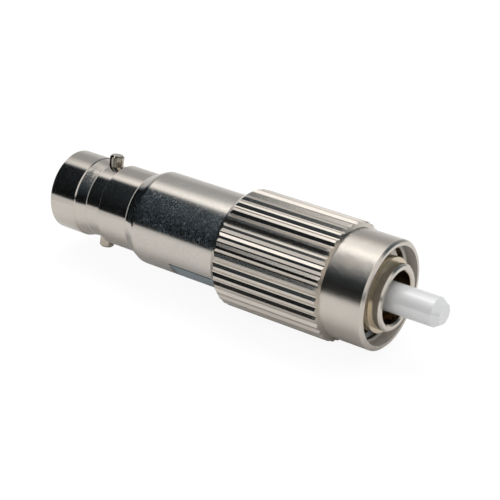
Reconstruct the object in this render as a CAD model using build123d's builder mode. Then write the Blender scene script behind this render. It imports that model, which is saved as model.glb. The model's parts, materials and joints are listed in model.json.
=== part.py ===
"""Fibre tester adapter: a bayonet port at one end and a threaded plug at the other.

The adapter lies along +X.  The mouth of the bayonet port is the plane x = 0 and
opens toward -X; the plug, its coupling nut and the bare ceramic ferrule point
toward +X.  The optical axis is the X axis, +Z is up, and all sizes are in
millimetres.  Directions round the axis are given in degrees from +Z toward +Y.
"""

from build123d import *
import math
import os

os.makedirs("parts", exist_ok=True)

# ---- bayonet port and body -------------------------------------------------
collar_d = 7.0            # plain collar at the mouth
collar_len = 2.7
collar_edge = 0.15        # chamfer of the mouth's outer edge
mouth_chamfer = 0.25      # lead-in of the mouth's bore
collar_step = 0.09        # turned-down edge at the collar's inner end
ramp_len = 1.15           # slope from the collar down to the stud groove
groove_d = 6.4
groove_len = 2.65         # collar to barrel, slope included
barrel_d = 7.0
barrel_len = 3.05
barrel_edge = 0.12        # chamfer where the barrel meets the groove
shoulder_len = 1.2        # cone between the barrel and the body
shoulder_blend = 0.8      # rounding where the cone meets the body
body_d = 8.16
body_len = 12.4
mouth_d = 5.1
mouth_depth = 7.4
bulkhead = 1.2            # web that the sleeve holder seats on
body_bore_d = 5.8

stud_d = 1.25
stud_span = 8.3           # over the tips of both studs
stud_recess = 0.07        # inner end of a stud below the mouth's bore
stud_edge = 0.14
stud_angle = 14.0
key_angle = stud_angle + 90.0
keyway_w = 1.1
keyway_depth = 2.2

flat_af = 7.9             # across the two wrench flats
flat_start = 3.6          # from the end of the cone
flat_len = 6.0
flat_angle = 230.0

# ---- alignment sleeve and ferrules -----------------------------------------
ferrule_d = 2.5
ferrule_len = 10.5
ferrule_chamfer = 0.40
ferrule_chamfer_len = 0.62
seat_step = 0.2           # radial, ground seat of a ferrule below its cylinder
seat_relief = 0.1         # the ground seat begins this far outside the tube
ferrule_reach = 4.2       # tip of the front ferrule beyond the plug's rim
fibre_d = 0.125
sleeve_fit = 0.015        # radial, ferrule in sleeve
sleeve_wall = 0.335
sleeve_len = 11.4
sleeve_slot = 0.45
sleeve_end_play = 0.05
sleeve_recess = 2.9       # sleeve behind the plane of the mouth
holder_fit = 0.05         # radial, sleeve in its holder
holder_d = 4.2
holder_lip = 0.5
holder_lip_d = 2.8
holder_flange = 1.0
cap_len = 0.8

# ---- floating ferrule assembly ---------------------------------------------
tube_d = 3.1              # metal tube that carries both ferrules
tube_grip = 2.8           # length of each ferrule held in the tube
tube_bore_d = 0.6
stop_d = 4.2              # stop collar at the front of the tube
stop_len = 1.5
stop_fit = 0.1            # radial, stop collar in the plug body
tube_fit = 0.07           # radial, tube in the spring seat
seat_len = 1.2
wire_d = 0.3
coil_d = 3.72             # mean diameter of the spring
coil_turns = 4.5
wire_sides = 4            # the coil is drawn with a many-sided wire
coil_gap = 0.02           # between the wire and each face it bears on

# ---- plug body and key ring ------------------------------------------------
spigot_len = 3.0          # part of the neck that sits in the body
neck_d = body_bore_d
neck_gap = 4.2            # from the body's front face to the stop shoulder
stop_shoulder_d = 6.8
stop_shoulder_len = 1.4
nose_d = 5.6
nose_len = 5.4
nose_edge = 0.15
nose_bore_d = 4.4
nose_bore_len = 2.3
lip_len = 1.0
lip_d = 3.7
key_ring_d = 6.3
key_ring_setback = 0.85   # behind the plug's rim
key_clear = 0.14          # corners of the key to the crest of the nut's thread
key_w = 2.0
key_len = 2.8
key_setback = 0.75        # key behind the front face of its ring

# ---- coupling nut ----------------------------------------------------------
nut_d = 10.06
nut_collar_d = 9.2
nut_fit = 0.07            # radial, body in the rear of the nut
rear_bore_len = 6.45
web_len = 1.2             # inner web that bears on the stop shoulder
web_fit = 0.08            # radial, web on the neck
nut_play = 0.4            # free travel toward the front
thread_minor_d = 7.18     # crests of the nut's inner thread
thread_major_d = 8.0      # bore at the thread's roots
thread_len = 5.6
thread_lead = 0.15
front_bore_d = 8.3
front_bore_len = 1.0
knurl_len = 10.45         # rear face to the foot of the step in front of the grip
rear_chamfer_len = 0.58
rear_land = 0.5           # share of the rear wall that stays flat inside its chamfer
step_len = 0.15           # steep step from the grip to the front collar
nut_edge = 0.18
groove_count = 36
ridge_top_w = 0.19        # flat left on top of each ridge
groove_floor_w = 0.11
groove_depth = 0.17       # flanks slope about 30 degrees
washer_t = 0.45
washer_fit = 0.05
washer_gap = 0.05

# ---- stations along the axis -----------------------------------------------
x_groove = collar_len
x_barrel = x_groove + groove_len
x_shoulder = x_barrel + barrel_len
x_body = x_shoulder + shoulder_len
x_front = x_body + body_len
x_stud = x_groove + groove_len / 2 + 0.12
x_bulkhead = mouth_depth
x_flange = x_bulkhead + bulkhead

sleeve_r_in = ferrule_d / 2 + sleeve_fit
sleeve_r_out = sleeve_r_in + sleeve_wall
holder_r_in = sleeve_r_out + holder_fit
x_sleeve = sleeve_recess
x_sleeve_end = x_sleeve + sleeve_len
x_cap = x_sleeve_end + sleeve_end_play

x_neck = x_front - spigot_len
x_stop = x_front + neck_gap
x_nose = x_stop + stop_shoulder_len
x_rim = x_nose + nose_len
x_lip = x_rim - nose_bore_len - lip_len
plug_bore_r = stop_d / 2 + stop_fit

x_tip = x_rim + ferrule_reach
x_tube_front = x_lip
x_stop_collar = x_tube_front - stop_len
x_rear_tip = x_sleeve + sleeve_len / 2
x_tube_rear = x_rear_tip + ferrule_len - tube_grip
x_seat_front = x_neck + seat_len

x_web_front = x_stop - nut_play
x_web = x_web_front - web_len
x_nut = x_web - rear_bore_len
x_thread_end = x_web_front + thread_len
x_nut_front = x_thread_end + front_bore_len
x_knurl_end = x_nut + knurl_len


def radial_plane(x, angle, r=0.0):
    """Plane at station x whose normal points away from the axis at the angle."""
    a = math.radians(angle)
    out = (0.0, math.sin(a), math.cos(a))
    return Plane(origin=(x, r * out[1], r * out[2]), x_dir=(1, 0, 0), z_dir=out)


def axis_distance(shape):
    centre = shape.center()
    return math.hypot(centre.Y, centre.Z)


# ---- port housing: collar, stud groove, barrel, cone and body ---------------
with BuildPart() as st_housing:
    with BuildSketch(Plane.XY):
        with BuildLine():
            Polyline(
                (0, mouth_d / 2 + mouth_chamfer),
                (0, collar_d / 2),
                (x_groove, collar_d / 2),
                (x_groove + collar_step, collar_d / 2 - collar_step),
                (x_groove + ramp_len, groove_d / 2),
                (x_barrel, groove_d / 2),
                (x_barrel, barrel_d / 2),
                (x_shoulder, barrel_d / 2),
                (x_body, body_d / 2),
                (x_front, body_d / 2),
                (x_front, body_bore_d / 2),
                (x_flange, body_bore_d / 2),
                (x_flange, holder_d / 2),
                (x_bulkhead, holder_d / 2),
                (x_bulkhead, mouth_d / 2),
                (mouth_chamfer, mouth_d / 2),
                close=True,
            )
        make_face()
    revolve(axis=Axis.X)
    rim = st_housing.edges().filter_by(GeomType.CIRCLE).filter_by(
        lambda e: abs(e.center().X) < 1e-6 and abs(e.radius - collar_d / 2) < 1e-6
    )
    chamfer(rim, collar_edge)
    crest = st_housing.edges().filter_by(GeomType.CIRCLE).filter_by(
        lambda e: abs(e.center().X - x_barrel) < 1e-6
        and abs(e.radius - barrel_d / 2) < 1e-6
    )
    chamfer(crest, barrel_edge)
    cone_end = st_housing.edges().filter_by(GeomType.CIRCLE).filter_by(
        lambda e: abs(e.center().X - x_body) < 1e-6 and abs(e.radius - body_d / 2) < 1e-6
    )
    fillet(cone_end, shoulder_blend)
    # holes for the two studs, right through the wall of the groove
    with BuildSketch(radial_plane(x_stud, stud_angle), radial_plane(x_stud, stud_angle + 180)):
        Circle(stud_d / 2)
    extrude(amount=collar_d, mode=Mode.SUBTRACT)
    # keyway: an open notch through the collar's wall
    with BuildSketch(radial_plane(0, key_angle)):
        Rectangle(keyway_depth - keyway_w / 2, keyway_w, align=(Align.MIN, Align.CENTER))
        with Locations((keyway_depth - keyway_w / 2, 0)):
            Circle(keyway_w / 2)
    extrude(amount=collar_d, mode=Mode.SUBTRACT)
    # two opposed wrench flats on the body, half hidden by the nut
    with BuildSketch(
        radial_plane(x_body + flat_start + flat_len / 2, flat_angle, flat_af / 2),
        radial_plane(x_body + flat_start + flat_len / 2, flat_angle + 180, flat_af / 2),
    ):
        Rectangle(flat_len, body_d)
    extrude(amount=body_d, mode=Mode.SUBTRACT)
st_housing.part.label = "st_housing"
export_step(st_housing.part, "parts/st_housing.step")

# ---- bayonet studs: round pins pressed through the wall of the groove -------
for number, angle in ((1, stud_angle), (2, stud_angle + 180)):
    with BuildPart() as bayonet_stud:
        r_inner = mouth_d / 2 + stud_recess
        with BuildSketch(radial_plane(x_stud, angle, r_inner)):
            Circle(stud_d / 2)
        extrude(amount=stud_span / 2 - r_inner)
        tip = bayonet_stud.faces().filter_by(GeomType.PLANE).sort_by(axis_distance)[-1]
        chamfer(tip.edges(), stud_edge)
    bayonet_stud.part.label = f"bayonet_stud_{number}"
    export_step(bayonet_stud.part, f"parts/bayonet_stud_{number}.step")

# ---- sleeve holder: tube with a front lip and a seating flange --------------
with BuildPart() as sleeve_holder:
    with BuildSketch(Plane.XY):
        with BuildLine():
            Polyline(
                (x_sleeve - sleeve_end_play - holder_lip, holder_lip_d / 2 + 0.2),
                (x_sleeve - sleeve_end_play - holder_lip, holder_d / 2 - 0.15),
                (x_sleeve - sleeve_end_play - holder_lip + 0.15, holder_d / 2),
                (x_flange, holder_d / 2),
                (x_flange, body_bore_d / 2),
                (x_flange + holder_flange, body_bore_d / 2),
                (x_flange + holder_flange, holder_d / 2),
                (x_cap, holder_d / 2),
                (x_cap, holder_r_in),
                (x_sleeve - sleeve_end_play, holder_r_in),
                (x_sleeve - sleeve_end_play, holder_lip_d / 2),
                (x_sleeve - sleeve_end_play - holder_lip + 0.2, holder_lip_d / 2),
                close=True,
            )
        make_face()
    revolve(axis=Axis.X)
sleeve_holder.part.label = "sleeve_holder"
export_step(sleeve_holder.part, "parts/sleeve_holder.step")

# ---- holder cap: closes the rear of the sleeve holder -----------------------
with BuildPart() as holder_cap:
    with BuildSketch(Plane.YZ.offset(x_cap)):
        Circle(holder_d / 2)
        Circle(holder_lip_d / 2, mode=Mode.SUBTRACT)
    extrude(amount=cap_len)
    chamfer(
        holder_cap.edges().filter_by(GeomType.CIRCLE).sort_by(Axis.X)[-2:].sort_by(
            lambda e: e.radius
        )[-1],
        0.15,
    )
holder_cap.part.label = "holder_cap"
export_step(holder_cap.part, "parts/holder_cap.step")

# ---- split alignment sleeve -------------------------------------------------
with BuildPart() as alignment_sleeve:
    with BuildSketch(Plane.YZ.offset(x_sleeve)):
        Circle(sleeve_r_out)
        Circle(sleeve_r_in, mode=Mode.SUBTRACT)
    extrude(amount=sleeve_len)
    with BuildSketch(radial_plane(x_sleeve + sleeve_len / 2, key_angle)):
        Rectangle(sleeve_len + 1, sleeve_slot)
    extrude(amount=holder_d, mode=Mode.SUBTRACT)
alignment_sleeve.part.label = "alignment_sleeve"
export_step(alignment_sleeve.part, "parts/alignment_sleeve.step")

# ---- ferrules: chamfered ceramic cylinders with a fine bore and a ground seat
seat_r = ferrule_d / 2 - seat_step
with BuildPart() as rear_ferrule:
    with BuildSketch(Plane.XY):
        with BuildLine():
            Polyline(
                (x_rear_tip, fibre_d / 2),
                (x_rear_tip, ferrule_d / 2 - ferrule_chamfer),
                (x_rear_tip + ferrule_chamfer_len, ferrule_d / 2),
                (x_tube_rear - seat_relief, ferrule_d / 2),
                (x_tube_rear - seat_relief, seat_r),
                (x_rear_tip + ferrule_len, seat_r),
                (x_rear_tip + ferrule_len, fibre_d / 2),
                close=True,
            )
        make_face()
    revolve(axis=Axis.X)
rear_ferrule.part.label = "rear_ferrule"
export_step(rear_ferrule.part, "parts/rear_ferrule.step")

with BuildPart() as front_ferrule:
    with BuildSketch(Plane.XY):
        with BuildLine():
            Polyline(
                (x_tip, fibre_d / 2),
                (x_tip, ferrule_d / 2 - ferrule_chamfer),
                (x_tip - ferrule_chamfer_len, ferrule_d / 2),
                (x_tube_front + seat_relief, ferrule_d / 2),
                (x_tube_front + seat_relief, seat_r),
                (x_tip - ferrule_len, seat_r),
                (x_tip - ferrule_len, fibre_d / 2),
                close=True,
            )
        make_face()
    revolve(axis=Axis.X)
front_ferrule.part.label = "front_ferrule"
export_step(front_ferrule.part, "parts/front_ferrule.step")

# ---- ferrule tube: holds both ferrules and carries the stop collar ----------
x_rear_seat = x_rear_tip + ferrule_len
x_front_seat = x_tip - ferrule_len
with BuildPart() as ferrule_tube:
    with BuildSketch(Plane.XY):
        with BuildLine():
            Polyline(
                (x_tube_rear, seat_r),
                (x_tube_rear, tube_d / 2),
                (x_stop_collar, tube_d / 2),
                (x_stop_collar, stop_d / 2),
                (x_tube_front, stop_d / 2),
                (x_tube_front, seat_r),
                (x_front_seat, seat_r),
                (x_front_seat, tube_bore_d / 2),
                (x_rear_seat, tube_bore_d / 2),
                (x_rear_seat, seat_r),
                close=True,
            )
        make_face()
    revolve(axis=Axis.X)
ferrule_tube.part.label = "ferrule_tube"
export_step(ferrule_tube.part, "parts/ferrule_tube.step")

# ---- fibre stub: runs from one polished face to the other -------------------
with BuildPart() as fibre_stub:
    with BuildSketch(Plane.YZ.offset(x_rear_tip)):
        Circle(fibre_d / 2)
    extrude(amount=x_tip - x_rear_tip)
fibre_stub.part.label = "fibre_stub"
export_step(fibre_stub.part, "parts/fibre_stub.step")

# ---- spring seat and spring behind the stop collar --------------------------
with BuildPart() as spring_seat:
    with BuildSketch(Plane.YZ.offset(x_neck)):
        Circle(plug_bore_r)
        Circle(tube_d / 2 + tube_fit, mode=Mode.SUBTRACT)
    extrude(amount=seat_len)
spring_seat.part.label = "spring_seat"
export_step(spring_seat.part, "parts/spring_seat.step")

x_coil = x_seat_front + coil_gap + wire_d / 2
coil_height = x_stop_collar - coil_gap - wire_d / 2 - x_coil
with BuildPart() as float_spring:
    with BuildLine() as coil:
        Helix(
            pitch=coil_height / coil_turns,
            height=coil_height,
            radius=coil_d / 2,
            center=(x_coil, 0, 0),
            direction=(1, 0, 0),
        )
    with BuildSketch(Plane(origin=coil.line @ 0, z_dir=coil.line % 0)):
        RegularPolygon(wire_d / 2, wire_sides)
    sweep(path=coil.line, is_frenet=True)
float_spring.part.label = "float_spring"
export_step(float_spring.part, "parts/float_spring.step")

# ---- plug body: spigot and neck, stop shoulder, nose with its rim -----------
with BuildPart() as plug_body:
    with BuildSketch(Plane.XY):
        with BuildLine():
            Polyline(
                (x_neck, plug_bore_r),
                (x_neck, neck_d / 2),
                (x_stop, neck_d / 2),
                (x_stop, stop_shoulder_d / 2),
                (x_nose, stop_shoulder_d / 2),
                (x_nose, nose_d / 2),
                (x_rim - nose_edge, nose_d / 2),
                (x_rim, nose_d / 2 - nose_edge),
                (x_rim, nose_bore_d / 2 + nose_edge),
                (x_rim - nose_edge, nose_bore_d / 2),
                (x_lip + lip_len, nose_bore_d / 2),
                (x_lip + lip_len, lip_d / 2),
                (x_lip, lip_d / 2),
                (x_lip, plug_bore_r),
                close=True,
            )
        make_face()
    revolve(axis=Axis.X)
plug_body.part.label = "plug_body"
export_step(plug_body.part, "parts/plug_body.step")

# ---- key ring: pressed on the nose, with the locating key -------------------
x_ring_front = x_rim - key_ring_setback
key_top_r = math.sqrt((thread_minor_d / 2 - key_clear) ** 2 - (key_w / 2) ** 2)
with BuildPart() as key_ring:
    with BuildSketch(Plane.YZ.offset(x_nose)):
        Circle(key_ring_d / 2)
        Circle(nose_d / 2, mode=Mode.SUBTRACT)
    extrude(amount=x_ring_front - x_nose)
    ring_mid = (nose_d + key_ring_d) / 4
    with BuildSketch(radial_plane(x_ring_front - key_setback - key_len / 2, key_angle, ring_mid)):
        RectangleRounded(key_len, key_w, 0.3)
    extrude(amount=key_top_r - ring_mid)
key_ring.part.label = "key_ring"
export_step(key_ring.part, "parts/key_ring.step")

# ---- slip washer: travels with the nut, behind its inner web ----------------
nut_bore_r = body_d / 2 + nut_fit
with BuildPart() as slip_washer:
    with BuildSketch(Plane.YZ.offset(x_web - washer_gap - washer_t)):
        Circle(nut_bore_r - washer_fit)
        Circle(neck_d / 2 + web_fit, mode=Mode.SUBTRACT)
    extrude(amount=washer_t)
slip_washer.part.label = "slip_washer"
export_step(slip_washer.part, "parts/slip_washer.step")

# ---- coupling nut: ridged grip, plain front collar, inner web ---------------
with BuildPart() as coupling_nut:
    with BuildSketch(Plane.XY):
        with BuildLine():
            Polyline(
                (x_nut, nut_bore_r),
                (x_nut, nut_bore_r + rear_land * (nut_d / 2 - nut_bore_r)),
                (x_nut + rear_chamfer_len, nut_d / 2),
                (x_knurl_end - step_len, nut_d / 2),
                (x_knurl_end, nut_collar_d / 2),
                (x_nut_front - nut_edge, nut_collar_d / 2),
                (x_nut_front, nut_collar_d / 2 - nut_edge),
                (x_nut_front, front_bore_d / 2),
                (x_thread_end, front_bore_d / 2),
                (x_thread_end - thread_lead, thread_major_d / 2),
                (x_web_front, thread_major_d / 2),
                (x_web_front, neck_d / 2 + web_fit),
                (x_web, neck_d / 2 + web_fit),
                (x_web, nut_bore_r),
                close=True,
            )
        make_face()
    revolve(axis=Axis.X)
    # grip grooves: shallow V shapes with a narrow floor, open at both ends of the grip
    floor_r = nut_d / 2 - groove_depth
    mouth_w = math.pi * nut_d / groove_count - ridge_top_w
    with BuildSketch(Plane.YZ.offset(x_nut - 1)):
        with PolarLocations(floor_r, groove_count):
            Polygon(
                (0, -groove_floor_w / 2),
                (groove_depth, -mouth_w / 2),
                (3 * groove_depth, -mouth_w / 2),
                (3 * groove_depth, mouth_w / 2),
                (groove_depth, mouth_w / 2),
                (0, groove_floor_w / 2),
                align=None,
            )
    extrude(amount=knurl_len + 2, mode=Mode.SUBTRACT)
coupling_nut.part.label = "coupling_nut"
export_step(coupling_nut.part, "parts/coupling_nut.step")

coil_length = math.hypot(coil_turns * math.pi * coil_d, coil_height)
print("spring volume", float_spring.part.volume, "wire", coil_length * math.pi * wire_d**2 / 4)
print("ferrule tip", x_tip, "plug rim", x_rim, "nut", x_nut, x_nut_front)
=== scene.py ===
import json
import math

import bpy
import numpy as np
from mathutils import Matrix, Vector


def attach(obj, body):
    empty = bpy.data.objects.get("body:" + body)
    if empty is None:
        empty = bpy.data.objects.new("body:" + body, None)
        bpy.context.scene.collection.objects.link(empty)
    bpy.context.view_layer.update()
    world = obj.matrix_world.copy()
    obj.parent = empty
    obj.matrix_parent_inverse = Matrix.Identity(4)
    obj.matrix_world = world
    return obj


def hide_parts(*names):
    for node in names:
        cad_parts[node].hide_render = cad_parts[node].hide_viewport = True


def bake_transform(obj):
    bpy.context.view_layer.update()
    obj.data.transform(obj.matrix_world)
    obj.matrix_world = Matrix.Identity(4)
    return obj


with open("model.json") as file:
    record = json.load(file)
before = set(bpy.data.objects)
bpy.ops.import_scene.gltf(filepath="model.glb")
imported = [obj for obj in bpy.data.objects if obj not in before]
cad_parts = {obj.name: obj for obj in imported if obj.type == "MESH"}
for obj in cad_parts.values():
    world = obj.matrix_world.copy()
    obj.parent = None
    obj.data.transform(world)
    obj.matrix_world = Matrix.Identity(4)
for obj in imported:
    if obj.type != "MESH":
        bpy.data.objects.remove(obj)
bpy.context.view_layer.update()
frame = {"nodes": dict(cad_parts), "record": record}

MM = 0.001
MICROMETRE = 1e-6
FULL_TURN = 2 * math.pi

# ---------------------------------------------------------------- sizes (mm)
THREAD_MINOR_R = 3.59        # the flat crest of the nut's inner thread
THREAD_MAJOR_R = 4.0         # its root, where the solid's plain bore is
THREAD_PITCH = 0.75
THREAD_X = (26.05, 31.05)
THREAD_CREST = 0.16          # half the crest's width, in pitches
THREAD_FOOT = 0.49           # half the foot's width, in pitches
THREAD_RUN_IN = 1.2          # radians over which the ridge rises at either end
THREAD_LEAST = 0.02          # share of the ridge's height that the ends keep
SPRING_X = (20.22, 28.18)    # the coil's two ends
SPRING_R = 1.86              # to the middle of the wire
SPRING_WIRE_R = 0.15
SPRING_TURNS = 4.5
SHARP_ANGLE = 32.0           # degrees; a steeper bend between faces is a hard edge

# ------------------------------------- where the finishes change (mm, degrees)
BODY_HAZE_X = (8.6, 10.6)    # the port's clear plate gives way to the body's: rougher, dusty and with a painted bluish sheen
EDGE_HIGHLIGHT_X = ((3.80, 0.09), (5.28, 0.10), (8.35, 0.10))  # painted highlight lines at the port's edges: start, width
FLAT_X = (13.2, 19.2)        # wrench flats on the body
FLAT_ANGLE = 230.0           # a flat's normal round the axis, from +Z toward +Y
FLAT_OFF = 3.95              # from the axis to a flat
FLAT_SKIN = 0.006            # what lies this near to a flat's plane is milled
FLAT_LINE = 0.05             # and what lies this near is the painted dark shade line round it
NUT_COLLAR_X = (28.0, 28.4)  # the ridged grip gives way to the plain collar
NUT_BORE_R = 4.16            # within this the nut's plate is thin, and painted darker on the thread as shade
NUT_BORE_FADE = (0.0, 0.15)  # start and end of its edge, added to the squared radius
NUT_FRONT_X = (31.15, 31.35) # the thread gives way to the plain front bore
PLUG_BORE_R = 2.2            # within this the plug's plate is painted darker brown, as shade in the bore
PLUG_BORE_FADE = (0.05, 0.3) # as the nut's
PLUG_RIM_X = (32.1, 32.3)    # the plug's worn rim starts

# ---------------------------------------------- colours (linear red, green, blue)
WHITE = (1, 1, 1)
NICKEL = (0.66, 0.605, 0.54)
NICKEL_STAIN = (0.60, 0.56, 0.51)
DUST_AND_SHEEN = (0.36, 0.52, 0.64)                              # bluish dusty specks, and an even painted bluish sheen on the body
STEEL = ((0.28, 0.35, 0.39), (0.68, 0.78, 0.84))       # the grain of the milled flats
FLAT_PAINTED_SHADE = (0.02, 0.02, 0.025)                       # painted shade: the dark line round a flat
EDGE_HIGHLIGHT = (0.62, 0.60, 0.56)                            # painted highlight: the pale lines at the port's edges
BORE_DULL = (0.66, 0.64, 0.61)                         # the nut's plain front bore
# painted shade on the thread deep in the nut's bore
THREAD_PAINTED_SHADE = (0.42, 0.39, 0.35)
CERAMIC = ((0.69, 0.70, 0.705), (0.77, 0.77, 0.76))    # its faint clouding
GLASS = (0.5, 0.52, 0.55)

# ------------------------------ camera fitted to the photograph (mm, degrees)
CAMERA_AT = (86.737, -96.592, 65.788)
CAMERA_AZIMUTH = 35.1
CAMERA_ELEVATION = 29.2
CAMERA_LENS = 117.6
CAMERA_SENSOR = 36.0
CAMERA_CLIP = (0.005, 5.0)   # metres

# ------------------------------------------------------ floor and lamp (mm, W)
FLOOR_X = 70.0               # the floor's middle
FLOOR_Z = -5.03              # 0.01 under the nut's lowest ridges
FLOOR_HALF = 82.0
FLOOR_COLOUR = (0.80, 0.80, 0.80)
FLOOR_GLOW = 1.06
FLOOR_GLOW_SHARE = 0.86      # the rest of it is lit, and keeps the shadow
LAMP_AT = (15, 60, 200)
LAMP_AIM = (18, 0, 0)
LAMP_SIZE = (220, 120)
LAMP_POWER = 0.20

# ------------------------------------------- the room, as the metal mirrors it
ROOM = (0.004, 0.07)         # level at the horizon, and what it gains toward the top
ROOM_TINT = (0.66, 0.90, 1.12)  # where neither a light, the wall nor the floor is
WALL = (0.46, 0.72)          # level high on the wall and at its foot
STRIP = 1.05                 # strip light overhead, on the port's side
BOX = 3.60                   # soft box beside the strip
PANEL = 0.85                 # light at the plug's side
FLOOR_FAR = (0.32, 0.42)     # pale floor at the horizon, and what it gains below
DIFFUSE_LEVEL = 0.75         # the even white that lights the object


# ============================================================ shader writing
class Wire:
    """A shader socket that takes part in Python arithmetic.

    Every operation adds one Math node to the socket's tree, so 1 - mask or
    height * 0.5 + 0.2 reads as it is computed.
    """

    def __init__(self, tree, socket):
        self.tree, self.socket = tree, socket

    def _math(self, operation, first, second, clamp=False):
        node = self.tree.nodes.new("ShaderNodeMath")
        node.operation, node.use_clamp = operation, clamp
        for slot, value in zip(node.inputs, (first, second)):
            if isinstance(value, Wire):
                self.tree.links.new(value.socket, slot)
            elif value is not None:
                slot.default_value = value
        return Wire(self.tree, node.outputs[0])

    def __add__(self, other):
        return self._math("ADD", self, other)

    __radd__ = __add__

    def __sub__(self, other):
        return self._math("SUBTRACT", self, other)

    def __rsub__(self, other):
        return self._math("SUBTRACT", other, self)

    def __neg__(self):
        return 0 - self

    def __mul__(self, other):
        return self._math("MULTIPLY", self, other)

    __rmul__ = __mul__

    def __truediv__(self, other):
        return self._math("DIVIDE", self, other)

    def size(self):
        """The value without its sign."""
        return self._math("ABSOLUTE", self, None)

    def over(self, edge):
        """1 where the value is above the edge, else 0."""
        return self._math("GREATER_THAN", self, edge)

    def between(self, low, high):
        """1 where the value lies between the two, else 0."""
        return self.over(low) * (1 - self.over(high))

    def clamped(self):
        return self._math("ADD", self, 0.0, clamp=True)

    def ramp(self, low, high):
        """0 at low, 1 at high, a straight line between them."""
        return ((self - low) / (high - low)).clamped()


class Shader:
    """The node tree of one material or of the world, written through its methods."""

    def __init__(self, owner):
        owner.use_nodes = True
        self.tree = owner.node_tree
        self.tree.nodes.clear()

    def outputs(self, kind, labels, settings=None, **values):
        """Adds a node and returns its outputs of these labels or places.

        Its settings are set first, then its sockets' values or links.  A socket is
        named in values by its label with spaces as underscores, or as in0, in1 by
        its place.  A colour has three parts, and None leaves a socket as it is.
        """
        made = self.tree.nodes.new("ShaderNode" + kind)
        for key, value in (settings or {}).items():
            setattr(made, key, value)
        for key, value in values.items():
            if key.startswith("in") and key[2:].isdigit():
                slot = made.inputs[int(key[2:])]
            else:
                slot = made.inputs[key.replace("_", " ")]
            if isinstance(value, Wire):
                self.tree.links.new(value.socket, slot)
            elif value is not None:
                slot.default_value = (*value, 1) if slot.type == "RGBA" else value
        return [Wire(self.tree, made.outputs[label]) for label in labels]

    def node(self, kind, settings=None, out=0, **values):
        """Adds a node, as outputs does, and returns the one output that is used."""
        return self.outputs(kind, (out,), settings, **values)[0]

    def split(self, vector):
        """The x, y and z parts of a vector."""
        return self.outputs("SeparateXYZ", ("X", "Y", "Z"), in0=vector)

    def rays(self):
        """1 on rays from the camera or through glass, and 1 on mirrored rays."""
        camera, through, glossy = self.outputs(
            "LightPath", ("Is Camera Ray", "Is Transmission Ray", "Is Glossy Ray"))
        return (camera + through).clamped(), glossy

    def place(self, scale=(1, 1, 1)):
        """Object coordinates in millimetres, stretched by the scale."""
        coords = self.node("TexCoord", out=3)
        factors = tuple(1000 * factor for factor in scale)
        return self.node("VectorMath", {"operation": "MULTIPLY"}, in0=coords, in1=factors)

    def noise(self, scale, stretch=(1, 1, 1), detail=3.0, rough=0.55):
        """Noise with `scale` waves to the millimetre, before the stretch."""
        return self.node("TexNoise", Vector=self.place(stretch), Scale=scale,
                         Detail=detail, Roughness=rough)

    def turning_marks(self, per_mm, detail=4, rough=0.7):
        """Fine lines round the axis, as a lathe leaves them."""
        return self.noise(1.0, stretch=(per_mm, 0.5, 0.5), detail=detail, rough=rough)

    def bump(self, height, micrometres, under=None):
        """The normal that a height gives, on top of the one under it."""
        return self.node("Bump", Height=height, Distance=micrometres * MICROMETRE,
                         Strength=1.0, Normal=under)

    def mix(self, factor, first, second):
        """The first colour where the factor is 0, the second where it is 1."""
        return self.node("Mix", {"data_type": "RGBA"}, out=2,
                         in0=factor, in6=first, in7=second)

    def metal(self, base, roughness, normal, metallic=1.0):
        """Plated metal, with the roughness kept between 0 and 1."""
        return self.node("BsdfPrincipled", Base_Color=base, Metallic=metallic,
                         Roughness=roughness.clamped(), Normal=normal)

    def cover(self, mask, under, over):
        """The shader over where the mask is 1, the one under it where it is 0."""
        return self.node("MixShader", in0=mask, in1=under, in2=over)


# ================================================================== finishes
def finish(name, write, **looks):
    """Makes a material whose surface the function writes from its looks."""
    made = bpy.data.materials.new(name)
    s = Shader(made)
    s.outputs("OutputMaterial", (), Surface=write(s, **looks))
    return made


def stained(s, broad, colour, stain):
    """The plate's colour, with faint stains where the broad noise is high."""
    return s.mix((broad * 1.6 - 0.35).clamped(), colour, stain)


def outside(radius, fade, y, z):
    """0 within the radius round the axis and 1 outside it.

    The fade is added to the radius's square, for where the change starts and ends.
    """
    low, high = (radius**2 + more for more in fade)
    return (y * y + z * z).ramp(low, high)


def plate(s, colour, stain, rough, mottle, turning, orange):
    """Nickel plate: mottled roughness, faint stains, turning marks round the axis.

    rough is the mean roughness and mottle its spread.  turning and orange are
    the heights in micrometres of the marks and of the plate's fine orange peel.
    """
    broad = s.noise(0.55, detail=4)
    fine = s.noise(6.0, detail=5, rough=0.65)
    roughness = fine * mottle + broad * (mottle * 0.6) + (rough - mottle * 0.8)
    normal = s.bump(s.turning_marks(26), turning, s.bump(fine, orange))
    return s.metal(stained(s, broad, colour, stain), roughness, normal)


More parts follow.
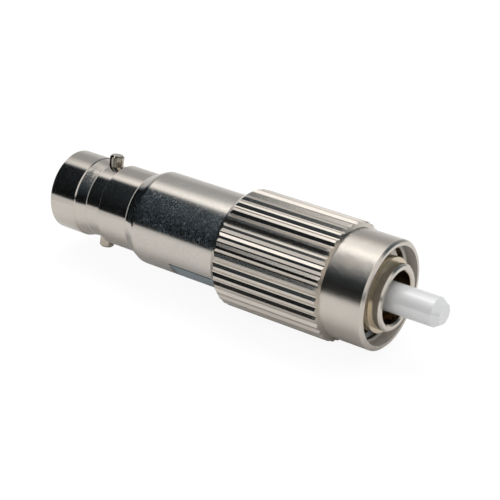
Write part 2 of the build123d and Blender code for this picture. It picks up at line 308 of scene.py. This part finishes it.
def body_plate(s, colour, stain):
    """Nickel plate of the housing: clear on the port, a speckled haze on the body.

    The wrench flats are bare milled steel with a painted dark shade line along their
    edges, and the port has painted highlight lines at its edges.  The body's haze is
    bluish dusty specks and an even painted bluish sheen.  off is the distance from the
    axis along the flats' normal: it is FLAT_OFF on a flat and less on the round beside it.
    """
    x, y, z = s.split(s.place())
    body = x.ramp(*BODY_HAZE_X)
    angle = math.radians(FLAT_ANGLE)
    off = (y * math.sin(angle) + z * math.cos(angle)).size()
    span = x.between(*FLAT_X)
    flat = off.over(FLAT_OFF - FLAT_SKIN) * span
    # mask of the painted shade: a dark line round each flat
    edge = off.over(FLAT_OFF - FLAT_LINE) * (1 - flat) * span
    # mask of the painted highlight lines at the port's edges
    edge_highlight = sum(x.between(at, at + width) for at, width in EDGE_HIGHLIGHT_X)

    broad = s.noise(0.55, detail=4)
    fine = s.noise(5.0, detail=5, rough=0.65)
    milled = s.noise(1.0, stretch=(0.4, 9, 9), detail=4, rough=0.7)
    patches = s.noise(0.9, detail=3).ramp(0.35, 0.65) * 0.7 + 0.3
    specks = s.noise(4.5, detail=5, rough=0.9).ramp(0.50, 0.64) * patches
    roughness = 0.09 + fine * 0.05 + body * 0.02 + specks * (body * 0.06 + 0.03)
    normal = s.bump(s.turning_marks(26), 1.2, s.bump(fine, 1.0))

    steel = s.node("BsdfPrincipled", Base_Color=s.mix(milled, *STEEL), Metallic=1.0,
                   Roughness=milled * 0.15 + 0.22)
    # painted shade: the dark finish of the line round each flat
    shade = s.node("BsdfPrincipled", Base_Color=FLAT_PAINTED_SHADE, Roughness=0.5)
    # painted highlight: a pale, part-metallic finish for the lines at the port's edges
    worn = s.node("BsdfPrincipled", Base_Color=EDGE_HIGHLIGHT, Metallic=0.3, Roughness=0.45)
    # bluish dusty specks, and an even painted bluish sheen
    dust_and_sheen = s.node("BsdfPrincipled", Base_Color=DUST_AND_SHEEN, Roughness=0.8)

    surface = s.metal(stained(s, broad, colour, stain), roughness, normal)
    surface = s.cover(flat, surface, steel)
    # painted shade along the flats' edges
    surface = s.cover(edge, surface, shade)
    # painted highlight lines at the port's edges
    surface = s.cover(edge_highlight * (broad.ramp(0.35, 0.6) * 0.5 + 0.4), surface, worn)
    # dusty specks, and an even painted bluish sheen over the whole body
    return s.cover(specks * (body * 0.22 + 0.02) + body * 0.014, surface, dust_and_sheen)


def nut_plate(s, colour, stain):
    """The nut's plate: bright on the ridges, satin with turning marks on the collar.

    Within NUT_BORE_R of the axis it is thin: dull in the plain front bore, and
    painted darker on the thread as shade deep in the bore.
    """
    x, y, z = s.split(s.place())
    collar = x.ramp(*NUT_COLLAR_X)
    inner = 1 - outside(NUT_BORE_R, NUT_BORE_FADE, y, z)
    front = x.ramp(*NUT_FRONT_X) * inner
    threaded = (inner - front).clamped()

    broad = s.noise(0.5, detail=4)
    fine = s.noise(7.0, detail=5, rough=0.6)
    marks = s.turning_marks(30, detail=5, rough=0.75)
    base = stained(s, broad, colour, stain)
    base = s.mix(front * 0.8, base, BORE_DULL)
    # painted shade: the thread deep in the bore is made darker
    base = s.mix(threaded * 0.5, base, THREAD_PAINTED_SHADE)
    roughness = 0.12 + collar * 0.03 + fine * 0.06 + marks * collar * 0.06 + front * 0.2
    normal = s.bump(marks * (collar * 0.85 + 0.15), 4.5, s.bump(fine, 0.5))
    return s.metal(base, roughness, normal, metallic=1 - front * 0.7)


def plug_plate(s, colour, rim, bore):
    """The plug's thin plate: golden, worn paler round its rim, browner in its bore."""
    x, y, z = s.split(s.place())
    outer = outside(PLUG_BORE_R, PLUG_BORE_FADE, y, z)
    at_rim = x.ramp(*PLUG_RIM_X)

    broad = s.noise(0.8, detail=4)
    fine = s.noise(6.0, detail=5, rough=0.65)
    base = s.mix(at_rim, colour, rim)
    # painted shade: darker brown in the bore; the broad noise also adds a random brown tone
    # outside it
    base = s.mix((1 - outer) + broad * 0.25, base, bore)
    roughness = 0.12 + fine * 0.1 + broad * 0.06
    normal = s.bump(s.turning_marks(22) + fine * 0.5, 1.2)
    return s.metal(base, roughness, normal, metallic=1 - outer * (1 - at_rim) * 0.22)


def zirconia(s):
    """Polished white ceramic: slightly grey, with a clear gloss and faint clouding."""
    return s.node("BsdfPrincipled", Base_Color=s.mix(s.noise(0.8, detail=3), *CERAMIC),
                  Roughness=s.noise(9.0, detail=2) * 0.06 + 0.16,
                  IOR=2.1, Coat_Weight=0.3, Coat_Roughness=0.08)


def glass_fibre(s):
    """Glass fibre, shown as a grey gloss that lets no light through."""
    return s.node("BsdfPrincipled", Base_Color=GLASS,
                  Roughness=s.noise(4.0) * 0.05 + 0.05, IOR=1.46, Coat_Weight=0.5)


def paper(s):
    """White floor that glows to straight rays; the lit part keeps a light shadow."""
    straight, _ = s.rays()
    lit = s.node("BsdfDiffuse", Color=FLOOR_COLOUR)
    glow = s.node("Emission", Color=WHITE, Strength=FLOOR_GLOW)
    return s.cover(straight * FLOOR_GLOW_SHARE, lit, glow)


LOOKS = {
    "nickel_body": (body_plate, dict(colour=NICKEL, stain=NICKEL_STAIN)),
    "nickel_nut": (nut_plate, dict(colour=(0.68, 0.62, 0.55), stain=NICKEL_STAIN)),
    "nickel_plug": (plug_plate, dict(colour=(0.76, 0.64, 0.46), rim=(0.68, 0.64, 0.58),
                                     bore=(0.44, 0.35, 0.23))),
    "nickel_stud": (plate, dict(colour=(0.58, 0.52, 0.43), stain=(0.34, 0.30, 0.25),
                                rough=0.12, mottle=0.06, turning=0.3, orange=0.4)),
    "inner_metal": (plate, dict(colour=(0.60, 0.50, 0.34), stain=(0.48, 0.38, 0.25),
                                rough=0.32, mottle=0.10, turning=2.0, orange=0.6)),
    "steel_tube": (plate, dict(colour=(0.56, 0.56, 0.56), stain=(0.50, 0.50, 0.50),
                               rough=0.30, mottle=0.08, turning=2.0, orange=0.4)),
    "spring_steel": (plate, dict(colour=(0.42, 0.42, 0.43), stain=(0.36, 0.36, 0.37),
                                 rough=0.30, mottle=0.08, turning=0.3, orange=0.4)),
    "zirconia": (zirconia, {}),
    "fibre_glass": (glass_fibre, {}),
}
finishes = {name: finish(name, write, **looks) for name, (write, looks) in LOOKS.items()}


# ================================================================== surfaces
def put_object(name, data):
    """Makes an object of a mesh, lamp or camera and links it to the scene."""
    made = bpy.data.objects.new(name, data)
    bpy.context.scene.collection.objects.link(made)
    return made


def wound_mesh(name, rings, slot_name, body=None):
    """Makes a smooth closed mesh from rings of points (mm) that follow a path.

    rings has the shape (count, points in a ring, 3).  Quads join each ring to the
    next, and one face closes the mesh at either end.
    """
    count, ring = rings.shape[:2]
    i, j = np.meshgrid(np.arange(count - 1), np.arange(ring), indexing="ij")
    k = (j + 1) % ring
    quads = np.stack([i * ring + j, i * ring + k, (i + 1) * ring + k, (i + 1) * ring + j], -1)
    faces = quads.reshape(-1, 4).tolist()
    faces.append(list(range(ring))[::-1])
    faces.append([(count - 1) * ring + n for n in range(ring)])

    mesh = bpy.data.meshes.new(name)
    mesh.from_pydata((rings.reshape(-1, 3) * MM).tolist(), [], faces)
    mesh.materials.append(finishes[slot_name])
    mesh.shade_smooth()
    mesh.set_sharp_from_angle(angle=math.radians(SHARP_ANGLE))
    piece = put_object(name, mesh)
    if body:
        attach(piece, body)
    return piece


def thread(name, minor, major, pitch, span, slot_name, body, steps=72):
    """Inner thread as one closed ridge wound round the axis.

    The ridge's section is a trapezium with its foot at the major radius and its
    flat crest at the minor radius.  The section point (offset u along the axis,
    radius r) at turn angle a lies at x = start + pitch * a / 2 pi + u,
    y = r sin a, z = r cos a, where start is half a pitch inside the span.
    This winds left-handed along +X, though a real thread of this kind is
    right-handed.
    """
    crest = pitch * THREAD_CREST
    foot = pitch * THREAD_FOOT
    section = np.array([(-foot, major), (-crest, minor), (crest, minor), (foot, major)])
    turns = (span[1] - span[0]) / pitch - 1
    angle = np.linspace(0, turns * FULL_TURN, int(turns * steps))
    to_end = np.minimum(angle, angle[-1] - angle)
    height = np.clip(to_end / THREAD_RUN_IN, THREAD_LEAST, 1)
    radius = major - (major - section[:, 1])[None, :] * height[:, None]
    x = span[0] + pitch / 2 + pitch * angle[:, None] / FULL_TURN + section[None, :, 0]
    rings = np.stack([x, radius * np.sin(angle)[:, None],
                      radius * np.cos(angle)[:, None]], -1)
    return wound_mesh(name, rings, slot_name, body)


def coil_spring(name, mean_r, wire_r, turns, span, slot_name, steps=48, sides=12):
    """Round wire wound round the axis as an open coil with closed end faces.

    At turn angle a the wire's centre lies at x = start + wire_r + slope * a,
    y = mean_r sin a, z = mean_r cos a.  A surface point at section angle b is that
    centre plus wire_r (cos b out + sin b across), where out points away from the
    axis and across is square to it and to the wire.  This winds left-handed
    along +X, though the solid that it replaces is right-handed.
    """
    a = np.linspace(0, turns * FULL_TURN, int(turns * steps))[:, None]
    b = np.linspace(0, FULL_TURN, sides, endpoint=False)[None, :]
    slope = (span[1] - span[0] - 2 * wire_r) / (turns * FULL_TURN)
    reach = math.hypot(mean_r, slope)
    radius = mean_r + wire_r * np.cos(b)
    lean = wire_r * np.sin(b) * slope / reach
    x = span[0] + wire_r + slope * a + wire_r * np.sin(b) * mean_r / reach
    rings = np.stack([x, radius * np.sin(a) - lean * np.cos(a),
                      radius * np.cos(a) + lean * np.sin(a)], -1)
    return wound_mesh(name, rings, slot_name)


# ============================================================ dressing nodes
slot_of = {p["node"]: p["material_slot"] for p in frame["record"]["subparts"]}
for node_name, solid in frame["nodes"].items():
    solid.data.materials.clear()
    solid.data.materials.append(finishes[slot_of[node_name]])

# the coil stands in for the float spring at one length; the real spring shortens as the
# ferrules are pushed in
spring_coil = coil_spring("spring_coil", SPRING_R, SPRING_WIRE_R, SPRING_TURNS, SPRING_X,
                          "spring_steel")
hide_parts("float_spring")
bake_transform(spring_coil)

thread("nut_thread", THREAD_MINOR_R, THREAD_MAJOR_R, THREAD_PITCH, THREAD_X,
       "nickel_nut", "nut")


# ====================================================== studio, world, camera
def studio_world():
    """White to straight rays, an even light to diffuse ones, and to mirrored ones
    a room: dark and slightly blue in front (-Y), with a pale wall behind, a pale
    floor below the horizon and three lights.

    x, y and z are the parts of the ray's direction, with the port toward -X.
    Each term is a product of straight ramps in them.  The room was set until the
    metal's tones came near the photograph's from its own camera.
    """
    world = bpy.data.worlds.new("studio")
    bpy.context.scene.world = world
    s = Shader(world)
    x, y, z = s.split(s.node("TexCoord"))

    # the dark room, a little brighter overhead except at the port's side
    room = x.ramp(-0.61, -0.51) * z.ramp(0.3, 0.9) * ROOM[1] + ROOM[0]

    # the wall behind: its edge draws back far out on the port's side, it pales
    # toward its foot and it dims toward the plug's side
    side = 1 - x.ramp(0.3, 0.6) * 0.75
    behind = (y - (-x).ramp(0.66, 0.95) * 0.3).ramp(0.05, 0.2)
    wall = (behind * side * (1 - x.ramp(-0.35, -0.1) * 0.35)
            * (WALL[1] - z.ramp(0.0, 0.35) * (WALL[1] - WALL[0])))

    # the strip light, which is wider at its end near the middle
    wide = x.ramp(-0.517, -0.49)
    strip = ((y + wide * 0.17).ramp(0.04, 0.16)
             * (1 - (y - wide * 0.22).ramp(0.26, 0.5))
             * (1 - x.ramp(-0.42, -0.3))
             * x.ramp(-0.66, -0.53) * STRIP)
    up = z.ramp(0.55, 0.95)
    box = (up * up * x.ramp(-0.42, -0.39) * (1 - x.ramp(-0.35, -0.3))
           * (1 - y.ramp(0.1, 0.3)) * BOX)
    panel = x.ramp(0.55, 0.7) * z.ramp(0.05, 0.15) * (1 - y.ramp(0.3, 0.5)) * PANEL
    lit = wall + strip + box + panel

    # the horizon sinks far out on the port's side; below it is the pale floor
    above = (z + (-x).ramp(0.72, 0.9) * 0.32).ramp(-0.03, -0.012)
    floor = ((-z).ramp(0.01, 0.08) * FLOOR_FAR[1] + FLOOR_FAR[0]) * side
    seen = (room + lit) * above + (1 - above) * floor

    straight, glossy = s.rays()
    level = straight + (1 - straight) * (glossy * seen + (1 - glossy) * DIFFUSE_LEVEL)
    white = (lit * 2 + (1 - above) + straight + (1 - glossy)).clamped()
    colour = s.mix(white, ROOM_TINT, WHITE)
    s.outputs("OutputWorld", (), Surface=s.node("Background", Color=colour, Strength=level))


def pale_floor():
    """Plain white floor under the adapter."""
    corners = np.array([(-1, -1), (1, -1), (1, 1), (-1, 1)]) * FLOOR_HALF
    mesh = bpy.data.meshes.new("floor")
    mesh.from_pydata([((x + FLOOR_X) * MM, y * MM, FLOOR_Z * MM) for x, y in corners],
                     [], [(0, 1, 2, 3)])
    mesh.materials.append(finish("floor_paper", paper))
    floor = put_object("floor", mesh)


def overhead_lamp():
    """A large soft lamp, which the metal doesn't mirror."""
    lamp = bpy.data.lights.new("overhead", "AREA")
    lamp.shape, lamp.energy = "RECTANGLE", LAMP_POWER
    lamp.size, lamp.size_y = LAMP_SIZE[0] * MM, LAMP_SIZE[1] * MM
    holder = put_object("overhead", lamp)
    place, aim = Vector(LAMP_AT) * MM, Vector(LAMP_AIM) * MM
    holder.location = place
    holder.rotation_euler = (aim - place).to_track_quat("-Z", "Y").to_euler()
    holder.visible_glossy = False


def photo_camera():
    """The photograph's camera, upright: its x axis stays level."""
    data = bpy.data.cameras.new("camera")
    data.lens, data.sensor_width = CAMERA_LENS, CAMERA_SENSOR
    data.clip_start, data.clip_end = CAMERA_CLIP
    camera = put_object("camera", data)
    azimuth, elevation = math.radians(CAMERA_AZIMUTH), math.radians(CAMERA_ELEVATION)
    right = Vector((math.cos(azimuth), math.sin(azimuth), 0))
    back = Vector((math.sin(azimuth) * math.cos(elevation),
                   -math.cos(azimuth) * math.cos(elevation), math.sin(elevation)))
    camera.matrix_world = Matrix.Translation(Vector(CAMERA_AT) * MM) @ Matrix(
        (right, back.cross(right), back)).transposed().to_4x4()
    bpy.context.scene.camera = camera


studio_world()
pale_floor()
overhead_lamp()
photo_camera()
bpy.context.scene.view_settings.view_transform = "Standard"
